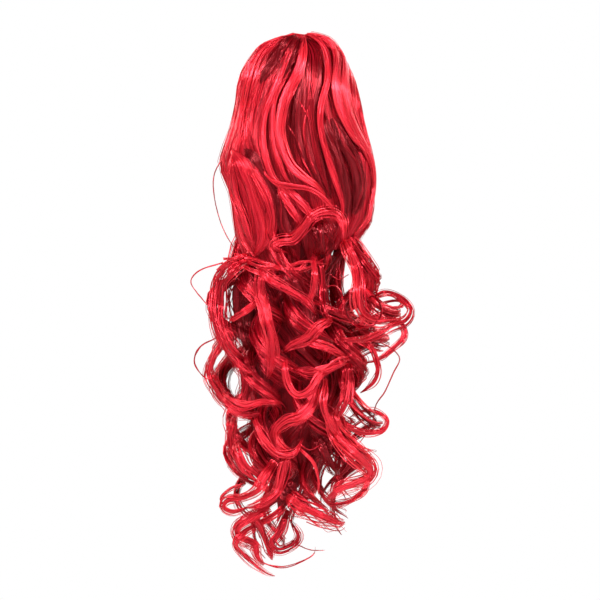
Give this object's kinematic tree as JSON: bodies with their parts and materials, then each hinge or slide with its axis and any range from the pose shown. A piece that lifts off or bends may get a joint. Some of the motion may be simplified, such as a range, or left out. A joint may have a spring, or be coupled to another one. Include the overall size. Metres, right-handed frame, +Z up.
{
  "type": "clip-on ponytail hairpiece",
  "caption": "Long curly ponytail hairpiece with a smooth swept crown over a claw clip and a tail of loose ringlets.",
  "frame": {"origin": "middle of the claw clip's grip, where the hairpiece clips on", "axes": "+Z up along the hanging hair, -Y towards the viewer of the front, +Y towards the wearer's head, +X to the right in the front view"},
  "size_m": [0.2096, 0.1439, 0.5466],
  "materials": {
    "red_hair": "glossy synthetic fibre, combed in locks",
    "clip_plastic": "moulded, lightly polished"
  },
  "bodies": {
    "root": {"claw_clip": "clip_plastic", "crown_hair": "red_hair", "tail_hair": "red_hair"}
  },
  "joints": []
}
